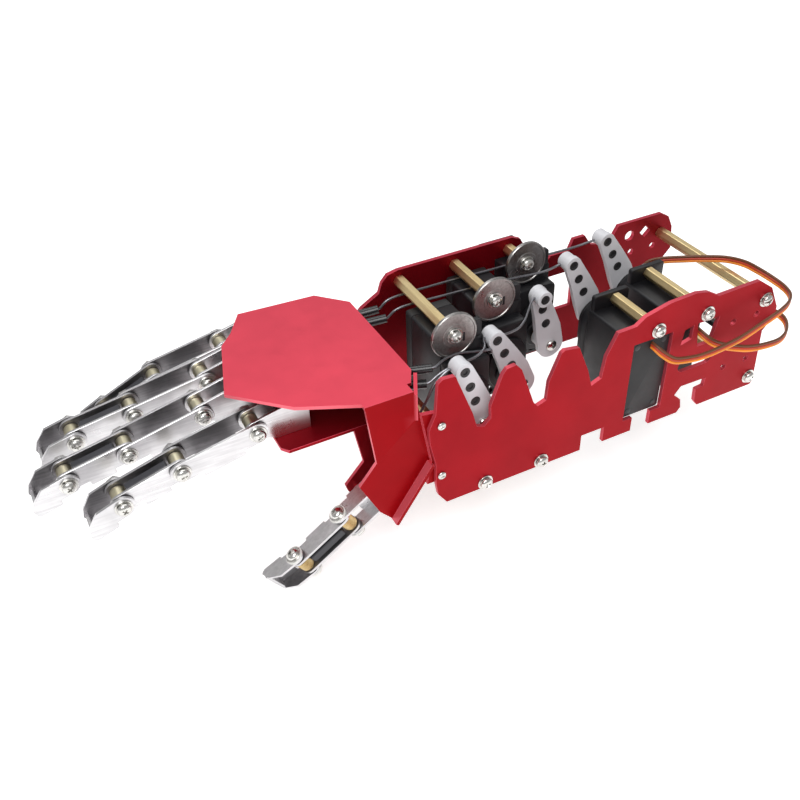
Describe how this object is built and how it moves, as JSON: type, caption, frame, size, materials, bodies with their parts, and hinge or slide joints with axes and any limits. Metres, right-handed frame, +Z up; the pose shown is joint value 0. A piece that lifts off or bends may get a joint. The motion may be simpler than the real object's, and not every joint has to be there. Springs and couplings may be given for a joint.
{
  "type": "robot hand",
  "caption": "Robot hand: jointed metal channel fingers and a thumb on a red sheet palm, worked by push wires from servo arms between two red forearm plates.",
  "frame": {"origin": "bottom centre of the whole hand: under the middle of its length and width, at the height of the thumb tip, its lowest point", "axes": "+X from the fingers toward the elbow end, +Y away from the thumb side, +Z up, square to the palm cover"},
  "size_m": [0.3319, 0.1102, 0.1024],
  "materials": {
    "red_anodised_plate": "red anodised, satin, with pale cut edges",
    "red_cover": "satin",
    "red_floor": "satin",
    "brass_standoff": "turned, satin",
    "ribbon_lead": "three cores side by side: brown, red and orange",
    "servo_case": "moulded, semi-gloss",
    "clamp_disc": "turned",
    "screw_steel": "plated",
    "black_sleeve": "smooth",
    "spring_wire": "drawn",
    "plug_plastic": "moulded",
    "arm_alloy": "satin",
    "dark_bar": "matt",
    "channel_alloy": "rolled sheet, satin"
  },
  "bodies": {
    "frame": {"near_plate": "red_anodised_plate", "far_plate": "red_anodised_plate", "palm_cover": "red_cover", "palm_floor": "red_floor", "palm_posts": "brass_standoff", "knuckle_brackets": "channel_alloy", "thumb_base": "channel_alloy", "servo_thumb": "servo_case", "servo_index": "servo_case", "servo_middle": "servo_case", "servo_ring": "servo_case", "servo_pinky": "servo_case", "cross_standoffs": "brass_standoff", "servo_standoffs": "brass_standoff", "clamp_discs": "clamp_disc", "frame_screws": "screw_steel", "wire_sleeves": "black_sleeve", "push_wire_thumb": "spring_wire", "push_wire_index": "spring_wire", "push_wire_middle": "spring_wire", "push_wire_ring": "spring_wire", "push_wire_pinky": "spring_wire", "servo_lead_front": "ribbon_lead", "servo_lead_rear": "ribbon_lead", "lead_plug": "plug_plastic"},
    "thumb_servo_arm": {"arm_thumb": "arm_alloy"},
    "index_servo_arm": {"arm_index": "arm_alloy"},
    "middle_servo_arm": {"arm_middle": "arm_alloy"},
    "ring_servo_arm": {"arm_ring": "arm_alloy"},
    "pinky_servo_arm": {"arm_pinky": "arm_alloy"},
    "index_proximal_link": {"index_proximal": "channel_alloy", "index_screws": "screw_steel"},
    "index_middle_link": {"index_middle": "channel_alloy", "index_link": "dark_bar"},
    "index_distal_link": {"index_distal": "channel_alloy", "index_tip_screw": "screw_steel"},
    "middle_proximal_link": {"middle_proximal": "channel_alloy", "middle_screws": "screw_steel"},
    "middle_middle_link": {"middle_middle": "channel_alloy", "middle_link": "dark_bar"},
    "middle_distal_link": {"middle_distal": "channel_alloy", "middle_tip_screw": "screw_steel"},
    "ring_proximal_link": {"ring_proximal": "channel_alloy", "ring_screws": "screw_steel"},
    "ring_middle_link": {"ring_middle": "channel_alloy", "ring_link": "dark_bar"},
    "ring_distal_link": {"ring_distal": "channel_alloy", "ring_tip_screw": "screw_steel"},
    "pinky_proximal_link": {"pinky_proximal": "channel_alloy", "pinky_screws": "screw_steel"},
    "pinky_middle_link": {"pinky_middle": "channel_alloy", "pinky_link": "dark_bar"},
    "pinky_distal_link": {"pinky_distal": "channel_alloy", "pinky_tip_screw": "screw_steel"},
    "thumb_middle_link": {"thumb_middle": "channel_alloy", "thumb_link": "dark_bar", "thumb_screw": "screw_steel"},
    "thumb_distal_link": {"thumb_distal": "channel_alloy", "thumb_tip_screw": "screw_steel"}
  },
  "joints": [
    {"name": "index_knuckle", "type": "hinge", "parent": "frame", "child": "index_proximal_link", "pos_m": [-0.0766, -0.0155, 0.0735], "axis": [0, -1, 0], "range_deg": [0, 69]},
    {"name": "index_middle_joint", "type": "hinge", "parent": "index_proximal_link", "child": "index_middle_link", "pos_m": [-0.10743, -0.0155, 0.06706], "axis": [0, -1, 0], "range_deg": [0, 69]},
    {"name": "index_end_joint", "type": "hinge", "parent": "index_middle_link", "child": "index_distal_link", "pos_m": [-0.13096, -0.0155, 0.06022], "axis": [0, -1, 0], "range_deg": [0, 42]},
    {"name": "middle_knuckle", "type": "hinge", "parent": "frame", "child": "middle_proximal_link", "pos_m": [-0.0919, 0.0045, 0.0735], "axis": [0, -1, 0], "range_deg": [0, 69]},
    {"name": "middle_middle_joint", "type": "hinge", "parent": "middle_proximal_link", "child": "middle_middle_link", "pos_m": [-0.12265, 0.0045, 0.06668], "axis": [0, -1, 0], "range_deg": [0, 69]},
    {"name": "middle_end_joint", "type": "hinge", "parent": "middle_middle_link", "child": "middle_distal_link", "pos_m": [-0.14667, 0.0045, 0.06184], "axis": [0, -1, 0], "range_deg": [0, 42]},
    {"name": "ring_knuckle", "type": "hinge", "parent": "frame", "child": "ring_proximal_link", "pos_m": [-0.0839, 0.0248, 0.0735], "axis": [0, -1, 0], "range_deg": [0, 69]},
    {"name": "ring_middle_joint", "type": "hinge", "parent": "ring_proximal_link", "child": "ring_middle_link", "pos_m": [-0.11496, 0.0248, 0.06825], "axis": [0, -1, 0], "range_deg": [0, 69]},
    {"name": "ring_end_joint", "type": "hinge", "parent": "ring_middle_link", "child": "ring_distal_link", "pos_m": [-0.13916, 0.0248, 0.06441], "axis": [0, -1, 0], "range_deg": [0, 42]},
    {"name": "pinky_knuckle", "type": "hinge", "parent": "frame", "child": "pinky_proximal_link", "pos_m": [-0.0699, 0.0413, 0.0735], "axis": [0, -1, 0], "range_deg": [0, 69]},
    {"name": "pinky_middle_joint", "type": "hinge", "parent": "pinky_proximal_link", "child": "pinky_middle_link", "pos_m": [-0.10082, 0.0413, 0.06749], "axis": [0, -1, 0], "range_deg": [0, 69]},
    {"name": "pinky_end_joint", "type": "hinge", "parent": "pinky_middle_link", "child": "pinky_distal_link", "pos_m": [-0.1231, 0.0413, 0.05729], "axis": [0, -1, 0], "range_deg": [0, 42]},
    {"name": "thumb_knuckle", "type": "hinge", "parent": "frame", "child": "thumb_middle_link", "pos_m": [-0.05, -0.0382, 0.028], "axis": [0.5577, 0, -0.83], "range_deg": [0, 45]},
    {"name": "thumb_end_joint", "type": "hinge", "parent": "thumb_middle_link", "child": "thumb_distal_link", "pos_m": [-0.07033, -0.0382, 0.01434], "axis": [0.5577, 0, -0.83], "range_deg": [0, 51]},
    {"name": "thumb_servo", "type": "hinge", "parent": "frame", "child": "thumb_servo_arm", "pos_m": [0.0116, -0.0405, 0.058], "axis": [0, 1, 0], "range_deg": [0, 30]},
    {"name": "index_servo", "type": "hinge", "parent": "frame", "child": "index_servo_arm", "pos_m": [0.0395, -0.0262, 0.058], "axis": [0, 1, 0], "range_deg": [0, 30]},
    {"name": "middle_servo", "type": "hinge", "parent": "frame", "child": "middle_servo_arm", "pos_m": [0.0666, -0.0082, 0.058], "axis": [0, 1, 0], "range_deg": [0, 30]},
    {"name": "ring_servo", "type": "hinge", "parent": "frame", "child": "ring_servo_arm", "pos_m": [0.0907, -0.0042, 0.066], "axis": [0, 1, 0], "range_deg": [0, 30]},
    {"name": "pinky_servo", "type": "hinge", "parent": "frame", "child": "pinky_servo_arm", "pos_m": [0.1186, 0.0068, 0.066], "axis": [0, 1, 0], "range_deg": [0, 30]}
  ],
  "couplings": [
    {"joint": "index_middle_joint", "follows": "index_knuckle", "ratio": 1},
    {"joint": "index_end_joint", "follows": "index_knuckle", "ratio": 0.6086},
    {"joint": "index_servo", "follows": "index_knuckle", "ratio": 0.4347},
    {"joint": "middle_middle_joint", "follows": "middle_knuckle", "ratio": 1},
    {"joint": "middle_end_joint", "follows": "middle_knuckle", "ratio": 0.6086},
    {"joint": "middle_servo", "follows": "middle_knuckle", "ratio": 0.4347},
    {"joint": "ring_middle_joint", "follows": "ring_knuckle", "ratio": 1},
    {"joint": "ring_end_joint", "follows": "ring_knuckle", "ratio": 0.6086},
    {"joint": "ring_servo", "follows": "ring_knuckle", "ratio": 0.4347},
    {"joint": "pinky_middle_joint", "follows": "pinky_knuckle", "ratio": 1},
    {"joint": "pinky_end_joint", "follows": "pinky_knuckle", "ratio": 0.6086},
    {"joint": "pinky_servo", "follows": "pinky_knuckle", "ratio": 0.4347},
    {"joint": "thumb_end_joint", "follows": "thumb_knuckle", "ratio": 1.1333},
    {"joint": "thumb_servo", "follows": "thumb_knuckle", "ratio": 0.6666}
  ]
}
